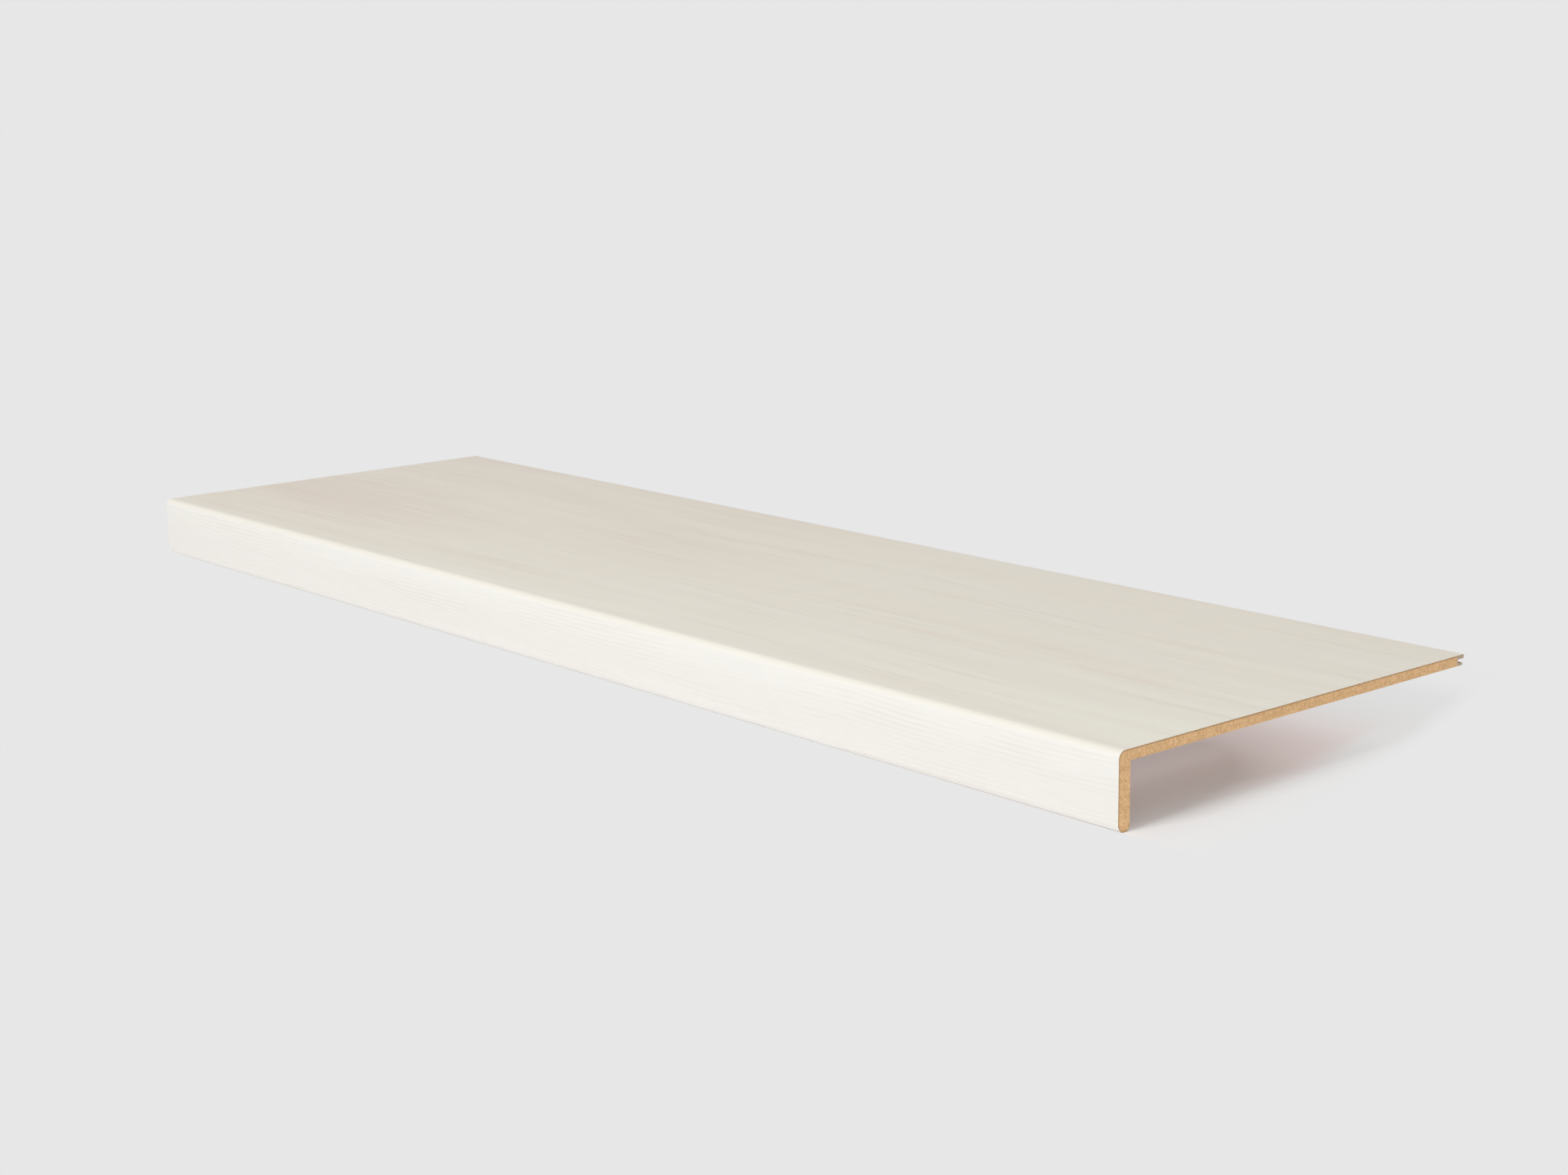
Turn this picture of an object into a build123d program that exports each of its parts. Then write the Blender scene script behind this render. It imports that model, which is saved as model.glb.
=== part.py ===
"""Laminate stair tread: an overlay board that is glued over an old step.

One board of high-density fibreboard, a flat slab with a thicker apron turned down at its front,
wrapped in a sheet of decor laminate. Millimetres. X runs along the nosing, Y from the nosing to
the rear edge, Z up. The origin is midway along the tread and midway back, on the floor.
"""

import os

from build123d import *

# Overall size
tread_length = 1300.0
tread_depth = 380.0
tread_height = 56.0

# Board section, laminate included
slab_thickness = 8.0
apron_thickness = 11.2
nose_radius = 6.0
foot_front_radius = 6.0
foot_back_radius = 4.0

# Decor laminate, and how far it runs up the back of the apron above the foot's round
laminate_thickness = 0.4
laminate_return = 1.5

# Groove along the rear edge, which takes the tongue of the board behind
upper_lip_thickness = 3.0
upper_lip_length = 7.0
groove_height = 3.0
lower_lip_setback = 1.4

# Faces of the board, seen on its cut end
nose_face = -tread_depth / 2
rear_edge = tread_depth / 2
apron_back = nose_face + apron_thickness
underside = tread_height - slab_thickness
groove_roof = tread_height - upper_lip_thickness
groove_floor = groove_roof - groove_height
groove_bottom = rear_edge - upper_lip_length
lower_lip_edge = rear_edge - lower_lip_setback
laminate_end = foot_back_radius + laminate_return

left_end = Plane.YZ.offset(-tread_length / 2)


def wrapped_line(inset):
    """Line of the decor face, moved inwards by inset.

    From the top of the rear edge it runs forward, round the nose, down the apron, round its foot
    and a little way up behind it.
    """
    top = tread_height - inset
    front = nose_face + inset
    back = apron_back - inset
    return FilletPolyline(
        (rear_edge, top),
        (front, top),
        (front, inset),
        (back, inset),
        (back, laminate_end),
        radius=[nose_radius - inset, foot_front_radius - inset, foot_back_radius - inset],
    )


# Fibreboard: slab and apron are one piece, square inside, with the groove cut in the rear edge.
# The back of the apron is flush with the laminate that ends low down on it.
with BuildPart() as hdf_core:
    with BuildSketch(left_end):
        with BuildLine():
            bond = wrapped_line(laminate_thickness)
            Polyline(
                bond @ 0,
                (rear_edge, groove_roof),
                (groove_bottom, groove_roof),
                (groove_bottom, groove_floor),
                (lower_lip_edge, groove_floor),
                (lower_lip_edge, underside),
                (apron_back, underside),
                (apron_back, laminate_end),
                bond @ 1,
            )
        make_face()
    extrude(amount=tread_length)

# Decor laminate: one sheet bonded over the top, the nose, the apron's face and its foot
with BuildPart() as laminate_skin:
    with BuildSketch(left_end):
        with BuildLine():
            face = wrapped_line(0)
            bond = wrapped_line(laminate_thickness)
            Line(face @ 0, bond @ 0)
            Line(face @ 1, bond @ 1)
        make_face()
    extrude(amount=tread_length)

hdf_core.part.label = "hdf_core"
laminate_skin.part.label = "laminate_skin"

os.makedirs("parts", exist_ok=True)
export_step(hdf_core.part, "parts/hdf_core.step")
export_step(laminate_skin.part, "parts/laminate_skin.step")
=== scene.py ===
"""Laminate stair tread: the looks, in metres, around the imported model.

X runs along the nosing, Y from the nosing to the rear edge, Z up from the floor.
"""

from math import pi, radians

import bmesh
import bpy
from mathutils import Matrix, Vector


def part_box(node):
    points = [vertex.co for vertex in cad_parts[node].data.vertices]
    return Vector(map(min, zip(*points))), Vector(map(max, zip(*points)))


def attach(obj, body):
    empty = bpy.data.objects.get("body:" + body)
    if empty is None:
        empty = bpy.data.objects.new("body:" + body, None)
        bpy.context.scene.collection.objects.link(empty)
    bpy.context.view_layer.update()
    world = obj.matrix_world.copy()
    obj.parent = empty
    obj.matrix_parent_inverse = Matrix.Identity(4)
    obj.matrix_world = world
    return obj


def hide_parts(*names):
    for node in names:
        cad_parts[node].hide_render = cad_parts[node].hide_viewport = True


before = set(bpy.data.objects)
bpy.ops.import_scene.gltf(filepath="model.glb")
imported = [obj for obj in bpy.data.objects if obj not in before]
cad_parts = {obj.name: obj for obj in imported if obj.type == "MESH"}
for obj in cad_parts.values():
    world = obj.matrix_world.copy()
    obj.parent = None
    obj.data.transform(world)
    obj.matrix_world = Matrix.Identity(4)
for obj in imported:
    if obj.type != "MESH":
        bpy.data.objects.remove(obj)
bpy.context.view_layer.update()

scene = bpy.context.scene
scene.view_settings.view_transform = "Standard"


# Camera. It stands in front, off the right-hand end and half a metre up, and looks back along the
# nosing. Place, direction and lens come from fitting the tread's own edges.
eye = Vector((1.7228, -1.3946, 0.5159))
heading = radians(49.364)
pitch_down = radians(12.27)
roll = radians(-0.87)
lens_mm = 58.815
sensor_width_mm = 36.0
farthest_seen = 4000.0

camera_data = bpy.data.cameras.new("camera")
camera_data.sensor_fit = "HORIZONTAL"
camera_data.sensor_width = sensor_width_mm
camera_data.lens = lens_mm
camera_data.clip_end = farthest_seen
camera = bpy.data.objects.new("camera", camera_data)
camera.matrix_world = (
    Matrix.Translation(eye)
    @ Matrix.Rotation(heading, 4, "Z")
    @ Matrix.Rotation(pi / 2 - pitch_down, 4, "X")
    @ Matrix.Rotation(roll, 4, "Z")
)
scene.collection.objects.link(camera)
scene.camera = camera


# Decor laminate. One sheet, 0.4 mm thick, of printed paper pressed with resin on kraft paper. It is
# bonded over the top, the nose, the apron's face and its foot, and ends a little way up behind.
sheet_low, sheet_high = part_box("laminate_skin")

sheet_thickness = 0.0004
nose_radius = 0.006
foot_front_radius = 0.006
foot_back_radius = 0.004
apron_thickness = 0.0112
sheet_return = 0.0015
round_steps = 16

left_end = sheet_low.x
tread_length = sheet_high.x - sheet_low.x
nose_face = sheet_low.y
rear_edge = sheet_high.y
tread_top = sheet_high.z
apron_back = nose_face + apron_thickness
sheet_end = foot_back_radius + sheet_return


def long_edge(bm, y, z):
    """The edge along the tread that lies at this place in the section."""
    same_place = 1e-6
    for edge in bm.edges:
        first, second = edge.verts
        if abs(first.co.x - second.co.x) < tread_length / 2:
            continue
        if (Vector((0, y, z)) - Vector((0, first.co.y, first.co.z))).length < same_place:
            return edge


def finished_piece(name, bm, material, node):
    """Put a finished mesh in the scene, in the place of the CAD node that it stands for."""
    sharp_from = radians(20)
    mesh = bpy.data.meshes.new(name)
    for face in bm.faces:
        face.smooth = True
    for edge in bm.edges:
        edge.smooth = edge.is_manifold and edge.calc_face_angle() < sharp_from
    bm.to_mesh(mesh)
    bm.free()
    piece = bpy.data.objects.new(name, mesh)
    scene.collection.objects.link(piece)
    flats = piece.modifiers.new("flat faces stay flat", "WEIGHTED_NORMAL")
    flats.keep_sharp = True
    mesh.materials.append(material)
    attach(piece, "root")
    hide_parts(node)


def linear(colour):
    """Linear RGBA of an sRGB hex colour."""
    parts = [int(colour[i:i + 2], 16) / 255 for i in (1, 3, 5)]
    return tuple(c / 12.92 if c <= 0.04045 else ((c + 0.055) / 1.055) ** 2.4 for c in parts) + (1.0,)


def add_node(tree, kind, inputs, **settings):
    """Add a node. Each input is a value, or the output socket of an earlier node."""
    node = tree.nodes.new(kind)
    for name, value in settings.items():
        setattr(node, name, value)
    for name, value in inputs.items():
        if isinstance(value, bpy.types.NodeSocket):
            tree.links.new(value, node.inputs[name])
        else:
            node.inputs[name].default_value = value
    return node


sheet = bmesh.new()
path = [
    sheet.verts.new((left_end, y, z))
    for y, z in (
        (rear_edge, tread_top),
        (nose_face, tread_top),
        (nose_face, 0.0),
        (apron_back, 0.0),
        (apron_back, sheet_end),
    )
]
path_edges = [sheet.edges.new(pair) for pair in zip(path, path[1:])]
pulled = bmesh.ops.extrude_edge_only(sheet, edges=path_edges)
bmesh.ops.translate(
    sheet,
    verts=[v for v in pulled["geom"] if isinstance(v, bmesh.types.BMVert)],
    vec=(tread_length, 0, 0),
)
for y, z, radius in (
    (nose_face, tread_top, nose_radius),
    (nose_face, 0.0, foot_front_radius),
    (apron_back, 0.0, foot_back_radius),
):
    bmesh.ops.bevel(
        sheet,
        geom=[long_edge(sheet, y, z)],
        offset=radius,
        offset_type="OFFSET",
        segments=round_steps,
        profile=0.5,
        affect="EDGES",
        material=-1,
    )
bmesh.ops.recalc_face_normals(sheet, faces=sheet.faces)
if max(sheet.faces, key=lambda face: face.calc_area()).normal.z < 0:
    bmesh.ops.reverse_faces(sheet, faces=sheet.faces)
bmesh.ops.solidify(sheet, geom=sheet.faces[:], thickness=sheet_thickness)

# The print is a whitewashed pine: pale and satin, creamy grey with faint pinkish streaks. Its
# pattern lies in the sheet: x along the grain, and across it y + z, which runs on round the nose
# from the top to the front. All its lengths are in mm.
grey_cream = linear("#EBE6D8")
pink_beige = linear("#E6DCCE")
wisp_brown = linear("#D2C7B9")
top_ring_brown = linear("#CDC3B3")
# Next three: the nose's painted highlight, the front's painted light and the lower front's painted
# shade
nose_painted_highlight = linear("#ECE7DB")
front_painted_light = linear("#E9E7E1")
lower_front_painted_shade = linear("#E6E3DE")
front_ring_yellow = linear("#D5CFBE")
kraft_brown = linear("#AD875B")

laminate = bpy.data.materials.new("whitewashed pine decor laminate")
laminate.use_nodes = True
tree = laminate.node_tree
tree.nodes.clear()

place = add_node(tree, "ShaderNodeTexCoord", {}).outputs["Object"]
in_mm = add_node(
    tree, "ShaderNodeVectorMath", {0: place, "Scale": 1000.0}, operation="SCALE"
).outputs[0]
xyz = add_node(tree, "ShaderNodeSeparateXYZ", {"Vector": in_mm})
along = xyz.outputs["X"]
across = add_node(
    tree, "ShaderNodeMath", {0: xyz.outputs["Y"], 1: xyz.outputs["Z"]}, operation="ADD"
).outputs[0]
in_sheet = add_node(tree, "ShaderNodeCombineXYZ", {"X": along, "Y": across}).outputs[0]


def grain_noise(tree, vector, length, width, detail=2.0, roughness=0.5, shift=0.0):
    """Noise drawn out along the grain: marks about this long and this wide, in mm."""
    sized = add_node(
        tree, "ShaderNodeMapping",
        {"Vector": vector, "Location": (shift, shift, 0.0), "Scale": (1 / length, 1 / width, 1.0)},
    )
    noise = add_node(
        tree, "ShaderNodeTexNoise",
        {"Vector": sized.outputs[0], "Scale": 1.0, "Detail": detail, "Roughness": roughness},
        noise_dimensions="2D",
    )
    return noise.outputs["Fac"]


# The grain runs nearly straight: it drifts some millimetres up and down along the tread, and
# wavers a little on the way
drift_reach = 24.0
waver_reach = 2.0
drift = grain_noise(tree, in_sheet, length=520, width=160, detail=1.0, roughness=0.4)
drift = add_node(
    tree, "ShaderNodeMapRange",
    {"Value": drift, "From Min": 0.0, "From Max": 1.0, "To Min": -drift_reach, "To Max": drift_reach},
).outputs[0]
waver = grain_noise(tree, in_sheet, length=120, width=24, detail=1.0, roughness=0.4, shift=5.0)
waver = add_node(
    tree, "ShaderNodeMapRange",
    {"Value": waver, "From Min": 0.0, "From Max": 1.0, "To Min": -waver_reach, "To Max": waver_reach},
).outputs[0]
grain = add_node(tree, "ShaderNodeMath", {0: across, 1: drift}, operation="ADD").outputs[0]
grain = add_node(tree, "ShaderNodeMath", {0: grain, 1: waver}, operation="ADD").outputs[0]
in_grain = add_node(tree, "ShaderNodeCombineXYZ", {"X": along, "Y": grain}).outputs[0]

# Soft patches in the print, with a ragged outline. A mark has faded out at mark_end times its own
# half size.
mark_end = 1.35
ragged_reach = 0.5
ragged = grain_noise(tree, in_grain, length=90, width=6, detail=3.0, roughness=0.6, shift=9.0)
ragged = add_node(
    tree, "ShaderNodeMapRange",
    {
        "Value": ragged, "From Min": 0.25, "From Max": 0.75,
        "To Min": -ragged_reach, "To Max": ragged_reach,
    },
).outputs[0]


def patches(tree, marks):
    """Share of patch at each place, the strongest where they meet.

    Each mark has its middle along and across the sheet, its half length and half width, in mm,
    and how strong it is.
    """
    share = 0.0
    for x, across_x, half_length, half_width, strength in marks:
        offset = add_node(
            tree, "ShaderNodeMapping",
            {
                "Vector": in_sheet,
                "Location": (-x / half_length, -across_x / half_width, 0.0),
                "Scale": (1 / half_length, 1 / half_width, 1.0),
            },
        ).outputs[0]
        reach = add_node(
            tree, "ShaderNodeVectorMath", {0: offset}, operation="LENGTH"
        ).outputs["Value"]
        reach = add_node(tree, "ShaderNodeMath", {0: reach, 1: ragged}, operation="ADD").outputs[0]
        mark = add_node(
            tree, "ShaderNodeMapRange",
            {"Value": reach, "From Min": mark_end, "From Max": 0.0, "To Min": 0.0, "To Max": strength},
            interpolation_type="SMOOTHSTEP",
        ).outputs[0]
        share = add_node(
            tree, "ShaderNodeMath", {0: share, 1: mark}, operation="MAXIMUM"
        ).outputs[0]
    return share


# Pinkish marks on the top: two broad ones on the middle and the right, the pinker left end, then
# single streaks
pink_marks = patches(tree, (
    (60, 60, 380, 50, 0.55),
    (430, 44, 200, 28, 0.5),
    (-540, 0, 260, 90, 1.2),
    (-480, 26, 120, 28, 0.8),
    (-200, -75, 140, 13, 0.8),
    (-500, -70, 220, 14, 1.0),
    (-500, -108, 260, 12, 0.9),
    (555, 16, 90, 7, 1.7),
    (505, 120, 80, 7, 1.2),
    (330, 9, 120, 9, 1.1),
    (245, 116, 55, 9, 0.9),
    (425, 44, 32, 11, 0.9),
    (30, 150, 140, 9, 0.7),
    (175, -54, 70, 16, 0.4),
    (430, -108, 60, 9, 0.4),
))

# Places on the front where the yellowish rings show most. Elsewhere, and on the top, the rings
# come and go in soft clouds.
figure_marks = patches(tree, (
    (-490, -146, 120, 13, 1.0),
    (-200, -160, 130, 15, 1.0),
    (40, -154, 190, 20, 0.7),
    (430, -154, 90, 16, 0.9),
    (556, -154, 40, 12, 0.9),
    (500, -180, 80, 8, 0.6),
))
clouds = grain_noise(tree, in_grain, length=170, width=11, shift=3.0)
clouds = add_node(
    tree, "ShaderNodeMapRange",
    {"Value": clouds, "From Min": 0.40, "From Max": 0.68, "To Min": 0.06, "To Max": 0.55},
    interpolation_type="SMOOTHSTEP",
).outputs[0]
ring_share = add_node(
    tree, "ShaderNodeMath", {0: clouds, 1: figure_marks}, operation="MAXIMUM"
).outputs[0]


def ring_lines(tree, pitch):
    """Yearly rings, this many mm apart, each darkening slowly and paling faster."""
    part = add_node(tree, "ShaderNodeMath", {0: grain, 1: pitch}, operation="DIVIDE").outputs[0]
    part = add_node(tree, "ShaderNodeMath", {0: part}, operation="FRACT").outputs[0]
    ring = add_node(tree, "ShaderNodeValToRGB", {"Fac": part})
    ring.color_ramp.interpolation = "EASE"
    ring.color_ramp.elements[0].position = 0.25
    ring.color_ramp.elements[0].color = (0, 0, 0, 1)
    ring.color_ramp.elements[1].position = 0.75
    ring.color_ramp.elements[1].color = (1, 1, 1, 1)
    ring.color_ramp.elements.new(1.0).color = (0, 0, 0, 1)
    return add_node(
        tree, "ShaderNodeMath", {0: ring.outputs["Color"], 1: ring_share}, operation="MULTIPLY"
    ).outputs[0]


# The wood's rings are 4.2 mm apart. On the top only every second one is drawn, since the top is
# seen so low that closer lines would not show.
ring_pitch = 4.2
top_ring_depth = 0.12
front_ring_depth = 0.36
front_rings = ring_lines(tree, ring_pitch)
top_rings = ring_lines(tree, 2 * ring_pitch)

# Broad changes of the wood's own tone, darker wisps, narrower pinkish streaks and fine fibre. The
# fibre of a real print is some tenths of a millimetre wide, which would not show, so it is drawn
# 1.1 mm wide.
mottle_reach = 0.18
wisp_depth = 0.24
streak_reach = 0.14
mottle = grain_noise(tree, in_grain, length=420, width=46)
mottle = add_node(
    tree, "ShaderNodeMapRange",
    {
        "Value": mottle, "From Min": 0.3, "From Max": 0.7,
        "To Min": -mottle_reach, "To Max": mottle_reach,
    },
).outputs[0]
wisps = grain_noise(tree, in_grain, length=240, width=6.5, shift=7.0)
wisps = add_node(
    tree, "ShaderNodeMapRange",
    {"Value": wisps, "From Min": 0.56, "From Max": 0.80, "To Min": 0.0, "To Max": wisp_depth},
    interpolation_type="SMOOTHSTEP",
).outputs[0]
streaks = grain_noise(tree, in_grain, length=280, width=15, shift=11.0)
streaks = add_node(
    tree, "ShaderNodeMapRange",
    {
        "Value": streaks, "From Min": 0.3, "From Max": 0.7,
        "To Min": -streak_reach, "To Max": streak_reach,
    },
).outputs[0]
fibre = grain_noise(tree, in_grain, length=36, width=1.1)

# On the top the ground goes from greyish cream, at the right of the nosing, to pinkish beige at
# the left and the rear. This lean, darker to the left and the rear, is partly the print and partly
# painted shade for the light that falls off away from the soft box. pinkness is the share of beige.
# It may pass 0 or 1, and then the tone runs on past its two colours. A colour mix takes its share in
# socket 0 and its colours in 6 and 7, and gives the mixed colour in 2.
pinker_and_shaded_per_mm = (-0.00048, 0.0012, 0.0)
middle_pinkness = 0.38
mark_depth = 0.6
lean_with_painted_shade = add_node(
    tree, "ShaderNodeVectorMath", {0: in_sheet, 1: pinker_and_shaded_per_mm}, operation="DOT_PRODUCT"
).outputs["Value"]
lean_with_painted_shade = add_node(
    tree, "ShaderNodeMath", {0: lean_with_painted_shade, 1: middle_pinkness}, operation="ADD"
).outputs[0]
pinkness = add_node(tree, "ShaderNodeMath", {0: lean_with_painted_shade, 1: mottle}, operation="ADD").outputs[0]
pinkness = add_node(tree, "ShaderNodeMath", {0: pinkness, 1: streaks}, operation="ADD").outputs[0]
pinkness = add_node(
    tree, "ShaderNodeMath", {0: pink_marks, 1: mark_depth, 2: pinkness}, operation="MULTIPLY_ADD"
).outputs[0]
top_tone = add_node(
    tree, "ShaderNodeMix", {0: pinkness, 6: grey_cream, 7: pink_beige},
    data_type="RGBA", clamp_factor=False,
).outputs[2]
top_tone = add_node(
    tree, "ShaderNodeMix", {0: wisps, 6: top_tone, 7: wisp_brown}, data_type="RGBA"
).outputs[2]
top_ring_mix = add_node(
    tree, "ShaderNodeMath", {0: top_rings, 1: top_ring_depth}, operation="MULTIPLY"
).outputs[0]
# The top's colour: the print, with the painted shade of its lean
top_print_and_shade = add_node(
    tree, "ShaderNodeMix", {0: top_ring_mix, 6: top_tone, 7: top_ring_brown}, data_type="RGBA"
).outputs[2]

# The nose is a creamier strip, a painted highlight along the nosing. Below it the front is painted
# paler and greyer than the top, as painted light for the stronger light on it, and a little greyer
# and darker lower down, as painted shade.
nose_top = 1000 * (nose_face + nose_radius + tread_top)
nose_bottom = 1000 * (nose_face + tread_top - nose_radius)
lower_painted_shade_share = add_node(
    tree, "ShaderNodeMapRange",
    {"Value": across, "From Min": nose_bottom - 2.0, "From Max": nose_bottom - 28.0},
    interpolation_type="SMOOTHSTEP",
).outputs[0]
front_tone = add_node(
    tree, "ShaderNodeMix", {0: lower_painted_shade_share, 6: front_painted_light, 7: lower_front_painted_shade}, data_type="RGBA"
).outputs[2]
front_ring_mix = add_node(
    tree, "ShaderNodeMath", {0: front_rings, 1: front_ring_depth}, operation="MULTIPLY"
).outputs[0]
front_print_and_light = add_node(
    tree, "ShaderNodeMix", {0: front_ring_mix, 6: front_tone, 7: front_ring_yellow}, data_type="RGBA"
).outputs[2]
on_nose = add_node(
    tree, "ShaderNodeMapRange",
    {"Value": across, "From Min": nose_top + 4.0, "From Max": nose_top - 3.0},
    interpolation_type="SMOOTHSTEP",
).outputs[0]
on_front = add_node(
    tree, "ShaderNodeMapRange",
    {"Value": across, "From Min": nose_top - 3.0, "From Max": nose_bottom},
    interpolation_type="SMOOTHSTEP",
).outputs[0]
# From here the colour holds the print with the nose's painted highlight and the front's painted light
# and shade
print_and_painted_light = add_node(
    tree, "ShaderNodeMix", {0: on_nose, 6: top_print_and_shade, 7: nose_painted_highlight}, data_type="RGBA"
).outputs[2]
print_and_painted_light = add_node(
    tree, "ShaderNodeMix", {0: on_front, 6: print_and_painted_light, 7: front_print_and_light}, data_type="RGBA"
).outputs[2]
fibre_depth = 0.018
fibre_tone = add_node(
    tree, "ShaderNodeMapRange",
    {
        "Value": fibre, "From Min": 0.25, "From Max": 0.75,
        "To Min": 1 - fibre_depth, "To Max": 1 + fibre_depth,
    },
).outputs[0]
print_and_painted_light = add_node(
    tree, "ShaderNodeVectorMath", {0: print_and_painted_light, "Scale": fibre_tone}, operation="SCALE"
).outputs[0]

# The sheet's cut edges, at both ends of the tread and along its rear, show its core of brown
# kraft paper. They are the faces that look squarely along X, or along Y behind the middle.
squarely = 0.99
facing = add_node(tree, "ShaderNodeNewGeometry", {}).outputs["True Normal"]
facing = add_node(tree, "ShaderNodeSeparateXYZ", {"Vector": facing}).outputs
cut = add_node(tree, "ShaderNodeMath", {0: facing["X"]}, operation="ABSOLUTE").outputs[0]
at_rear = add_node(
    tree, "ShaderNodeMath", {0: across, 1: 0.0}, operation="GREATER_THAN"
).outputs[0]
rear_cut = add_node(
    tree, "ShaderNodeMath", {0: facing["Y"], 1: at_rear}, operation="MULTIPLY"
).outputs[0]
cut = add_node(tree, "ShaderNodeMath", {0: cut, 1: rear_cut}, operation="MAXIMUM").outputs[0]
cut = add_node(tree, "ShaderNodeMath", {0: cut, 1: squarely}, operation="GREATER_THAN").outputs[0]
print_and_painted_light = add_node(
    tree, "ShaderNodeMix", {0: cut, 6: print_and_painted_light, 7: kraft_brown}, data_type="RGBA"
).outputs[2]

# Satin resin, pressed with a fine pore texture that follows the print
pore_depth = 0.00003
resin_ior = 1.5
pores = add_node(
    tree, "ShaderNodeBump", {"Strength": 0.35, "Distance": pore_depth, "Height": fibre}
).outputs[0]
roughness = add_node(
    tree, "ShaderNodeMapRange",
    {"Value": fibre, "From Min": 0.2, "From Max": 0.8, "To Min": 0.40, "To Max": 0.50},
).outputs[0]
surface = add_node(
    tree, "ShaderNodeBsdfPrincipled",
    {"Base Color": print_and_painted_light, "Roughness": roughness, "Normal": pores, "IOR": resin_ior},
)
add_node(tree, "ShaderNodeOutputMaterial", {"Surface": surface.outputs[0]})

finished_piece("decor_laminate_sheet", sheet, laminate, "laminate_skin")


# Fibreboard. Slab and apron are one piece of high-density fibreboard, the slab 8 mm thick with its
# laminate. It is sawn to length, with a groove milled along the rear edge. Its cut ends, rear edge
# and underside and the apron's back are bare.
slab_thickness = 0.008
upper_lip_thickness = 0.003
upper_lip_length = 0.007
groove_height = 0.003
lower_lip_setback = 0.0014
eased_edge = 0.0006
eased_steps = 3

underside = tread_top - slab_thickness
groove_roof = tread_top - upper_lip_thickness
groove_floor = groove_roof - groove_height
groove_bottom = rear_edge - upper_lip_length
lower_lip_edge = rear_edge - lower_lip_setback
bond_top = tread_top - sheet_thickness
bond_front = nose_face + sheet_thickness
bond_back = apron_back - sheet_thickness

core = bmesh.new()
outline = [
    core.verts.new((left_end, y, z))
    for y, z in (
        (rear_edge, bond_top),
        (bond_front, bond_top),
        (bond_front, sheet_thickness),
        (bond_back, sheet_thickness),
        (bond_back, sheet_end),
        (apron_back, sheet_end),
        (apron_back, underside),
        (lower_lip_edge, underside),
        (lower_lip_edge, groove_floor),
        (groove_bottom, groove_floor),
        (groove_bottom, groove_roof),
        (rear_edge, groove_roof),
    )
]
core.faces.new(outline)
nose, foot_front, foot_back = outline[1:4]
lower_lip_below, lower_lip_above = outline[7:9]
upper_lip_below = outline[11]
for corner, radius, steps in (
    (nose, nose_radius - sheet_thickness, round_steps),
    (foot_front, foot_front_radius - sheet_thickness, round_steps),
    (foot_back, foot_back_radius - sheet_thickness, round_steps),
    (lower_lip_below, eased_edge, eased_steps),
    (lower_lip_above, eased_edge, eased_steps),
    (upper_lip_below, eased_edge, eased_steps),
):
    bmesh.ops.bevel(
        core,
        geom=[corner],
        offset=radius,
        offset_type="OFFSET",
        segments=steps,
        profile=0.5,
        affect="VERTICES",
        material=-1,
    )
pulled = bmesh.ops.extrude_face_region(core, geom=core.faces[:])
bmesh.ops.translate(
    core,
    verts=[v for v in pulled["geom"] if isinstance(v, bmesh.types.BMVert)],
    vec=(tread_length, 0, 0),
)
bmesh.ops.recalc_face_normals(core, faces=core.faces)

# Bare fibreboard: pressed softwood fibre, matt and finely speckled. It is tan where it is sawn,
# duller where it is sanded, and darker in the hard skin just under the laminate.
sawn_dark = linear("#C99B68")
sawn_light = linear("#F2CB9A")
sanded_dark = linear("#C0997A")
sanded_light = linear("#D1AA8A")
bark_brown = linear("#9A7448")
skin_brown = linear("#98744F")
lip_grey = linear("#B0A292")

fibreboard = bpy.data.materials.new("high-density fibreboard, sawn and sanded")
fibreboard.use_nodes = True
tree = fibreboard.node_tree
tree.nodes.clear()

place = add_node(tree, "ShaderNodeTexCoord", {}).outputs["Object"]
in_mm = add_node(
    tree, "ShaderNodeVectorMath", {0: place, "Scale": 1000.0}, operation="SCALE"
).outputs[0]
xyz = add_node(tree, "ShaderNodeSeparateXYZ", {"Vector": in_mm})


def board_noise(tree, size, detail, roughness, shift):
    """Noise with marks of about this many mm."""
    moved = add_node(
        tree, "ShaderNodeMapping", {"Vector": in_mm, "Location": (shift, shift, shift)}
    )
    noise = add_node(
        tree, "ShaderNodeTexNoise",
        {
            "Vector": moved.outputs[0], "Scale": 1 / size,
            "Detail": detail, "Roughness": roughness,
        },
    )
    return noise.outputs["Fac"]


# Single fibres are too fine to show, so the speckle is drawn as clumps of 1.5 mm. Between them
# lie a few dark specks of bark, and the tone changes a little over some 9 mm.
fibres = board_noise(tree, size=1.5, detail=4.0, roughness=0.65, shift=0.0)
fibre_light = add_node(
    tree, "ShaderNodeMapRange", {"Value": fibres, "From Min": 0.30, "From Max": 0.70}
).outputs[0]
patchy_depth = 0.04
patchy = board_noise(tree, size=9.0, detail=1.0, roughness=0.5, shift=20.0)
patchy = add_node(
    tree, "ShaderNodeMapRange",
    {
        "Value": patchy, "From Min": 0.3, "From Max": 0.7,
        "To Min": 1 - patchy_depth, "To Max": 1 + patchy_depth,
    },
).outputs[0]
bark_depth = 0.6
bark = board_noise(tree, size=1.3, detail=1.0, roughness=0.5, shift=40.0)
bark = add_node(
    tree, "ShaderNodeMapRange",
    {"Value": bark, "From Min": 0.62, "From Max": 0.74, "To Min": 0.0, "To Max": bark_depth},
).outputs[0]

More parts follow.
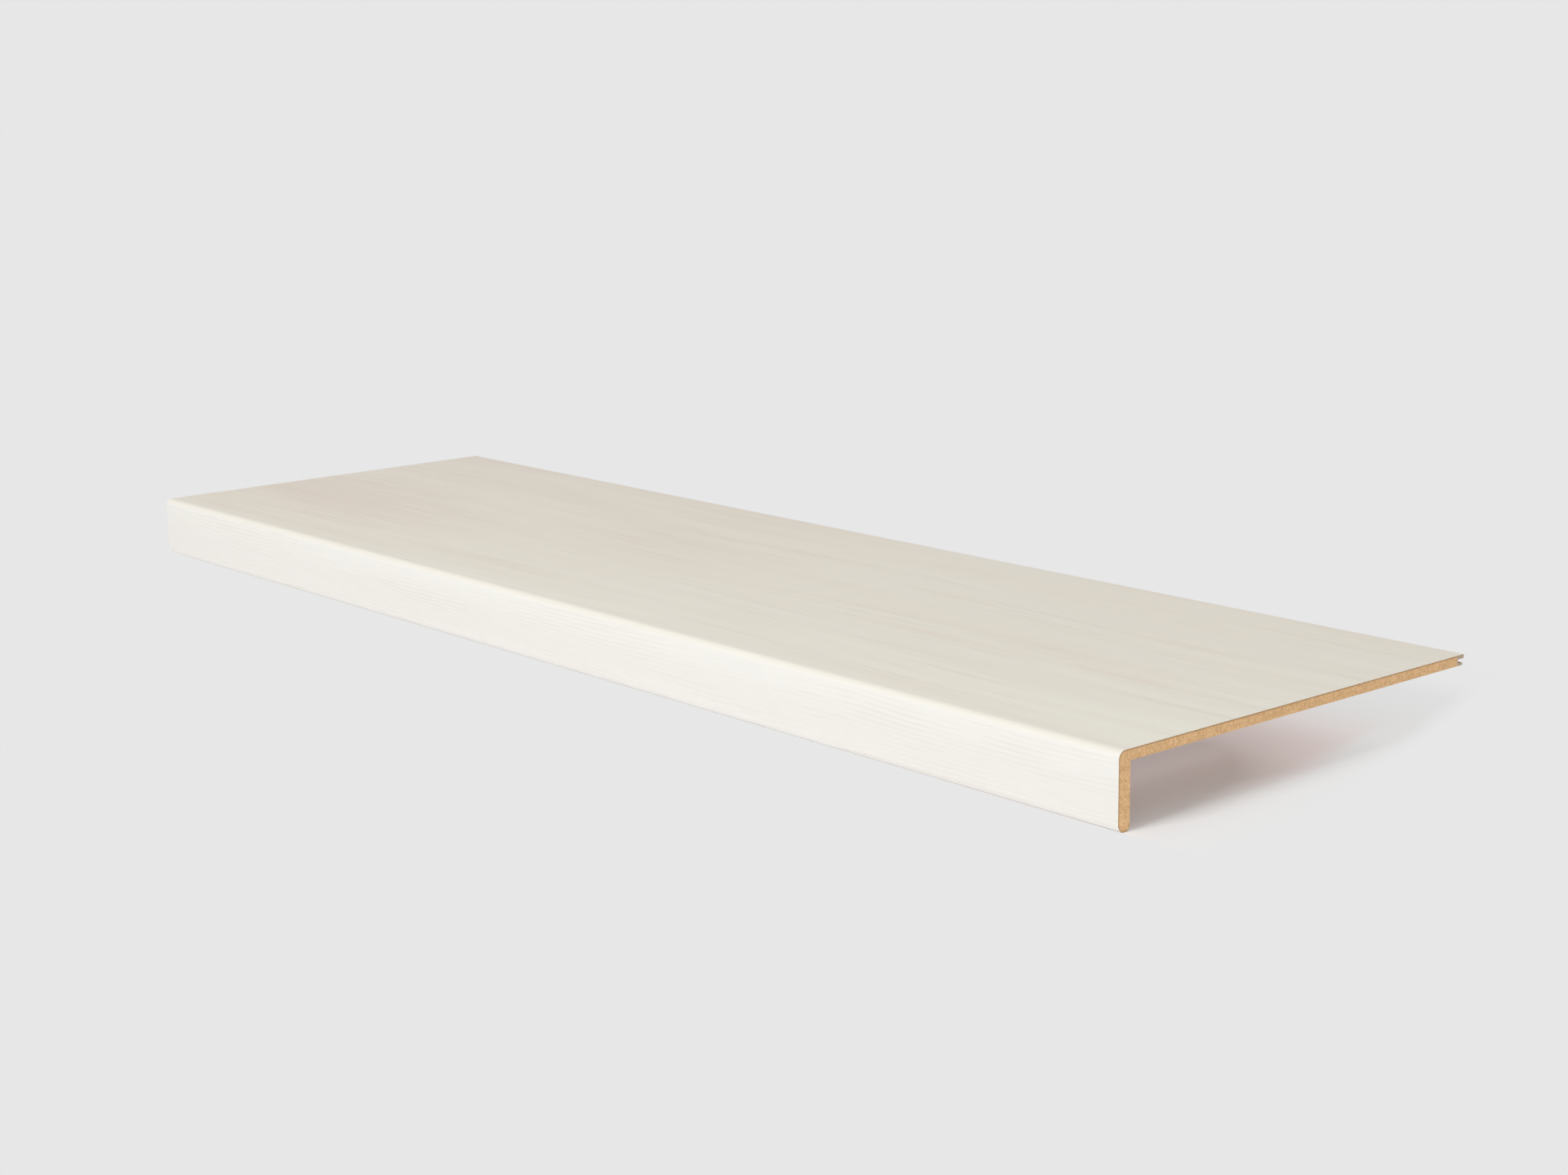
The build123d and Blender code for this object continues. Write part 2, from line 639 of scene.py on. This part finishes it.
# Depth below the laminate's face, in mm: below the top, round the nose, down the apron and round
# the front of its foot. The hard skin is darkest down to skin_full, and has faded out at skin_end.
skin_full = 0.7
skin_end = 1.5
skin_depth = 0.55
over_nose = add_node(
    tree, "ShaderNodeMath",
    {0: xyz.outputs["Z"], 1: 1000 * (tread_top - nose_radius)}, operation="SUBTRACT",
).outputs[0]
below_foot = add_node(
    tree, "ShaderNodeMath",
    {0: 1000 * foot_front_radius, 1: xyz.outputs["Z"]}, operation="SUBTRACT",
).outputs[0]
rise = add_node(
    tree, "ShaderNodeMath", {0: over_nose, 1: below_foot}, operation="MAXIMUM"
).outputs[0]
rise = add_node(tree, "ShaderNodeMath", {0: rise, 1: 0.0}, operation="MAXIMUM").outputs[0]
reach = add_node(
    tree, "ShaderNodeMath",
    {0: 1000 * (nose_face + nose_radius), 1: xyz.outputs["Y"]}, operation="SUBTRACT",
).outputs[0]
reach = add_node(tree, "ShaderNodeMath", {0: reach, 1: 0.0}, operation="MAXIMUM").outputs[0]
off_centre = add_node(tree, "ShaderNodeCombineXYZ", {"X": reach, "Y": rise}).outputs[0]
off_centre = add_node(
    tree, "ShaderNodeVectorMath", {0: off_centre}, operation="LENGTH"
).outputs["Value"]
depth = add_node(
    tree, "ShaderNodeMath", {0: 1000 * nose_radius, 1: off_centre}, operation="SUBTRACT"
).outputs[0]
skin = add_node(
    tree, "ShaderNodeMapRange",
    {
        "Value": depth, "From Min": skin_end, "From Max": skin_full,
        "To Min": 0.0, "To Max": skin_depth,
    },
    interpolation_type="SMOOTHSTEP",
).outputs[0]

# The groove's lips are greyer. The grey thins out, with an uneven edge, from 3 mm behind the
# groove's bottom to 5 mm in front of it.
lip_grey_full = 3.0
lip_grey_end = 5.0
lip_grey_depth = 0.85
wobble_reach = 1.2
wobble = board_noise(tree, size=2.5, detail=2.0, roughness=0.5, shift=60.0)
wobble = add_node(
    tree, "ShaderNodeMapRange",
    {
        "Value": wobble, "From Min": 0.3, "From Max": 0.7,
        "To Min": -wobble_reach, "To Max": wobble_reach,
    },
).outputs[0]
towards_rear = add_node(
    tree, "ShaderNodeMath", {0: xyz.outputs["Y"], 1: wobble}, operation="ADD"
).outputs[0]
lip_start = 1000 * groove_bottom
lip_greyness = add_node(
    tree, "ShaderNodeMapRange",
    {
        "Value": towards_rear, "From Min": lip_start - lip_grey_end, "From Max": lip_start + lip_grey_full,
        "To Min": 0.0, "To Max": lip_grey_depth,
    },
    interpolation_type="SMOOTHSTEP",
).outputs[0]

# Sawn ends face along X
facing = add_node(tree, "ShaderNodeNewGeometry", {}).outputs["True Normal"]
facing = add_node(tree, "ShaderNodeSeparateXYZ", {"Vector": facing}).outputs["X"]
sawn = add_node(tree, "ShaderNodeMath", {0: facing}, operation="ABSOLUTE").outputs[0]
sawn_tone = add_node(
    tree, "ShaderNodeMix", {0: fibre_light, 6: sawn_dark, 7: sawn_light}, data_type="RGBA"
).outputs[2]
sanded_tone = add_node(
    tree, "ShaderNodeMix", {0: fibre_light, 6: sanded_dark, 7: sanded_light}, data_type="RGBA"
).outputs[2]
board = add_node(
    tree, "ShaderNodeMix", {0: sawn, 6: sanded_tone, 7: sawn_tone}, data_type="RGBA"
).outputs[2]
for share, colour in ((bark, bark_brown), (skin, skin_brown), (lip_greyness, lip_grey)):
    board = add_node(
        tree, "ShaderNodeMix", {0: share, 6: board, 7: colour}, data_type="RGBA"
    ).outputs[2]
board = add_node(
    tree, "ShaderNodeVectorMath", {0: board, "Scale": patchy}, operation="SCALE"
).outputs[0]

# The saw tears the fibre up, and sanding leaves it nearly smooth
torn_depth = 0.00012
fibreboard_roughness = 0.85
fibreboard_ior = 1.45
torn = add_node(
    tree, "ShaderNodeMapRange",
    {"Value": sawn, "From Min": 0.0, "From Max": 1.0, "To Min": 0.15, "To Max": 0.7},
).outputs[0]
nap = add_node(
    tree, "ShaderNodeBump", {"Strength": torn, "Distance": torn_depth, "Height": fibres}
).outputs[0]
surface = add_node(
    tree, "ShaderNodeBsdfPrincipled",
    {
        "Base Color": board, "Roughness": fibreboard_roughness,
        "Normal": nap, "IOR": fibreboard_ior,
    },
)
add_node(tree, "ShaderNodeOutputMaterial", {"Surface": surface.outputs[0]})

finished_piece("fibreboard_core", core, fibreboard, "hdf_core")


# Studio, which is no part of the tread. A sweep of white paper runs to the horizon, so brightly
# lit that only deep shadow shows on it. A large soft box stands in front of the nosing, 36 degrees
# up, and the room is white all round, brighter on the right.
backdrop_colour = linear("#E7E7E7")
paper_colour = linear("#F6F6F6")
shade_tint = linear("#E7D8D5")
floor_half_size = 1500.0

floor_mesh = bpy.data.meshes.new("studio_floor")
floor_bm = bmesh.new()
bmesh.ops.create_grid(floor_bm, x_segments=1, y_segments=1, size=floor_half_size)
floor_bm.to_mesh(floor_mesh)
floor_bm.free()
floor = bpy.data.objects.new("studio_floor", floor_mesh)
scene.collection.objects.link(floor)

# The floor mixes lit paper, which takes the tread's shadow, with a glow in the backdrop's colour,
# which stands for over-lit paper. glow is the glow's share at each place on the floor.
sweep = bpy.data.materials.new("white paper sweep")
sweep.use_nodes = True
tree = sweep.node_tree
tree.nodes.clear()
place = add_node(tree, "ShaderNodeTexCoord", {}).outputs["Object"]
xyz = add_node(tree, "ShaderNodeSeparateXYZ", {"Vector": place})
right_end = tread_length / 2

# From the apron back: no glow just behind the foot, more as the shade under the slab thins out,
# and nothing but glow well behind the rear edge
shade_span = rear_edge + 0.24 - nose_face
back = add_node(
    tree, "ShaderNodeMapRange",
    {"Value": xyz.outputs["Y"], "From Min": nose_face, "From Max": nose_face + shade_span},
)
glow = add_node(tree, "ShaderNodeValToRGB", {"Fac": back.outputs[0]})
for number, (y, share) in enumerate((
    (nose_face + 0.006, 0.0),
    (nose_face + 0.120, 0.03),
    (nose_face + 0.160, 0.17),
    (nose_face + 0.220, 0.49),
    (nose_face + 0.310, 0.79),
    (nose_face + 0.340, 0.81),
    (rear_edge + 0.090, 0.78),
    (rear_edge + 0.200, 1.0),
)):
    stops = glow.color_ramp.elements
    position = (y - nose_face) / shade_span
    stop = stops[number] if number < 2 else stops.new(position)
    stop.position = position
    stop.color = (share, share, share, 1.0)
glow = glow.outputs["Color"]

# Beside the tread: more glow towards its ends, and nothing else past them. The soft box stands to
# the right of the middle, so the shade's right edge leans to the left towards the rear. At the
# left end the shade stops short.
edge_lean = 0.33
leans_from = -0.12
left_inset = 0.08
edge_inside = 0.012
edge_outside = 0.088
behind = add_node(
    tree, "ShaderNodeMath", {0: xyz.outputs["Y"], 1: leans_from}, operation="SUBTRACT"
).outputs[0]
behind = add_node(tree, "ShaderNodeMath", {0: behind, 1: 0.0}, operation="MAXIMUM").outputs[0]
past_right = add_node(
    tree, "ShaderNodeMath",
    {0: behind, 1: edge_lean, 2: xyz.outputs["X"]}, operation="MULTIPLY_ADD",
).outputs[0]
past_left = add_node(
    tree, "ShaderNodeMath", {0: left_inset, 1: xyz.outputs["X"]}, operation="SUBTRACT"
).outputs[0]
aside = add_node(
    tree, "ShaderNodeMath", {0: past_right, 1: past_left}, operation="MAXIMUM"
).outputs[0]
aside = add_node(
    tree, "ShaderNodeMapRange",
    {"Value": aside, "From Min": right_end - edge_inside, "From Max": right_end + edge_outside},
).outputs[0]
glow = add_node(tree, "ShaderNodeMath", {0: glow, 1: aside}, operation="MAXIMUM").outputs[0]

# Deep inside: some glow everywhere, growing from the right end to 80 mm inside it
deep_glow = 0.42
deep = add_node(
    tree, "ShaderNodeMapRange",
    {
        "Value": xyz.outputs["X"], "From Min": right_end - 0.005, "From Max": right_end - 0.080,
        "To Min": 0.0, "To Max": deep_glow,
    },
).outputs[0]
glow = add_node(tree, "ShaderNodeMath", {0: glow, 1: deep}, operation="MAXIMUM").outputs[0]

# In front: all glow, to a little way under the foot's front round, which leaves a thin dark line
front_glow_end = nose_face + 0.0034
in_front = add_node(
    tree, "ShaderNodeMath", {0: xyz.outputs["Y"], 1: front_glow_end}, operation="LESS_THAN"
).outputs[0]
glow = add_node(tree, "ShaderNodeMath", {0: glow, 1: in_front}, operation="MAXIMUM").outputs[0]

# Near the cut end the glow in the shade is tinted, as by light from the tan board. The tint has
# ended where the glow is nearly full, past the shade's right edge, 20 mm before the rear edge and
# 190 mm inside the right end. neutral is the share of glow without it.
neutral = add_node(tree, "ShaderNodeMath", {0: glow, 1: 4.0}, operation="POWER").outputs[0]
shade_back = add_node(
    tree, "ShaderNodeMath", {0: xyz.outputs["Y"], 1: 0.01}, operation="SUBTRACT"
).outputs[0]
shade_back = add_node(
    tree, "ShaderNodeMath", {0: shade_back, 1: 0.0}, operation="MAXIMUM"
).outputs[0]
past_shade = add_node(
    tree, "ShaderNodeMath",
    {0: shade_back, 1: edge_lean, 2: xyz.outputs["X"]}, operation="MULTIPLY_ADD",
).outputs[0]
for place_value, tinted_to, neutral_from in (
    (past_shade, right_end - 0.020, right_end + 0.005),
    (xyz.outputs["Y"], 0.06, 0.17),
    (xyz.outputs["X"], right_end - 0.110, right_end - 0.190),
):
    untinted = add_node(
        tree, "ShaderNodeMapRange",
        {"Value": place_value, "From Min": tinted_to, "From Max": neutral_from},
    ).outputs[0]
    neutral = add_node(
        tree, "ShaderNodeMath", {0: neutral, 1: untinted}, operation="MAXIMUM"
    ).outputs[0]
glow_colour = add_node(
    tree, "ShaderNodeMix", {0: neutral, 6: shade_tint, 7: backdrop_colour}, data_type="RGBA"
).outputs[2]


def seen_share(tree, rays):
    """1 for rays that show a surface to the eye, straight, mirrored or through glass."""
    seen = add_node(
        tree, "ShaderNodeMath",
        {0: rays["Is Camera Ray"], 1: rays["Is Glossy Ray"]}, operation="MAXIMUM",
    ).outputs[0]
    return add_node(
        tree, "ShaderNodeMath", {0: seen, 1: rays["Is Transmission Ray"]}, operation="MAXIMUM"
    ).outputs[0]


# The glow is for rays that see the floor. Only a strip 6 mm wide, along the front of the foot,
# also glows for diffuse rays. It gives the foot of the laminate the light of an over-lit floor.
strip_middle = nose_face + 0.001
strip_half_width = 0.003
strip_level = 1.45
rays = add_node(tree, "ShaderNodeLightPath", {}).outputs
glow = add_node(
    tree, "ShaderNodeMath", {0: glow, 1: seen_share(tree, rays)}, operation="MULTIPLY"
).outputs[0]
foot_strip = add_node(
    tree, "ShaderNodeMath",
    {0: xyz.outputs["Y"], 1: strip_middle, 2: strip_half_width}, operation="COMPARE",
).outputs[0]
glow = add_node(
    tree, "ShaderNodeMath",
    {0: foot_strip, 1: rays["Is Diffuse Ray"], 2: glow}, operation="MULTIPLY_ADD",
).outputs[0]
paper = add_node(tree, "ShaderNodeBsdfDiffuse", {"Color": paper_colour})
glow_level = add_node(
    tree, "ShaderNodeMapRange",
    {"Value": rays["Is Diffuse Ray"], "To Min": 1.0, "To Max": strip_level},
).outputs[0]
bright = add_node(tree, "ShaderNodeEmission", {"Color": glow_colour, "Strength": glow_level})
surface = add_node(
    tree, "ShaderNodeMixShader", {0: glow, 1: paper.outputs[0], 2: bright.outputs[0]}
)
add_node(tree, "ShaderNodeOutputMaterial", {"Surface": surface.outputs[0]})
floor_mesh.materials.append(sweep)

# The room lights the tread from all round, and is seen in the backdrop's colour
room_middle = 0.59
brighter_to_right = (0.45, 0.0, 0.0)
world = bpy.data.worlds.new("white room")
world.use_nodes = True
scene.world = world
tree = world.node_tree
tree.nodes.clear()
direction = add_node(tree, "ShaderNodeTexCoord", {}).outputs["Generated"]
room_level = add_node(
    tree, "ShaderNodeVectorMath", {0: direction, 1: brighter_to_right}, operation="DOT_PRODUCT"
).outputs["Value"]
room_level = add_node(
    tree, "ShaderNodeMath", {0: room_level, 1: room_middle}, operation="ADD"
).outputs[0]
room = add_node(
    tree, "ShaderNodeBackground", {"Color": (1.0, 1.0, 1.0, 1.0), "Strength": room_level}
)
seen = add_node(tree, "ShaderNodeBackground", {"Color": backdrop_colour, "Strength": 1.0})
rays = add_node(tree, "ShaderNodeLightPath", {}).outputs
mixed = add_node(
    tree, "ShaderNodeMixShader",
    {0: seen_share(tree, rays), 1: room.outputs[0], 2: seen.outputs[0]},
)
add_node(tree, "ShaderNodeOutputWorld", {"Surface": mixed.outputs[0]})

# The soft box's level is how bright it makes a white face that is turned to it, 1 being white
soft_box_place = Vector((0.45, -3.3, 2.4))
soft_box_aim = Vector((0.0, -0.1, 0.03))
soft_box_size = 1.2
soft_box_level = 0.50
distance = (soft_box_aim - soft_box_place).length
lamp_data = bpy.data.lights.new("soft box", "AREA")
lamp_data.shape = "SQUARE"
lamp_data.size = soft_box_size
lamp_data.energy = soft_box_level * pi ** 2 * distance ** 2
lamp = bpy.data.objects.new("soft box", lamp_data)
lamp.location = soft_box_place
lamp.rotation_euler = (soft_box_aim - soft_box_place).to_track_quat("-Z", "Y").to_euler()
scene.collection.objects.link(lamp)


bpy.context.view_layer.update()
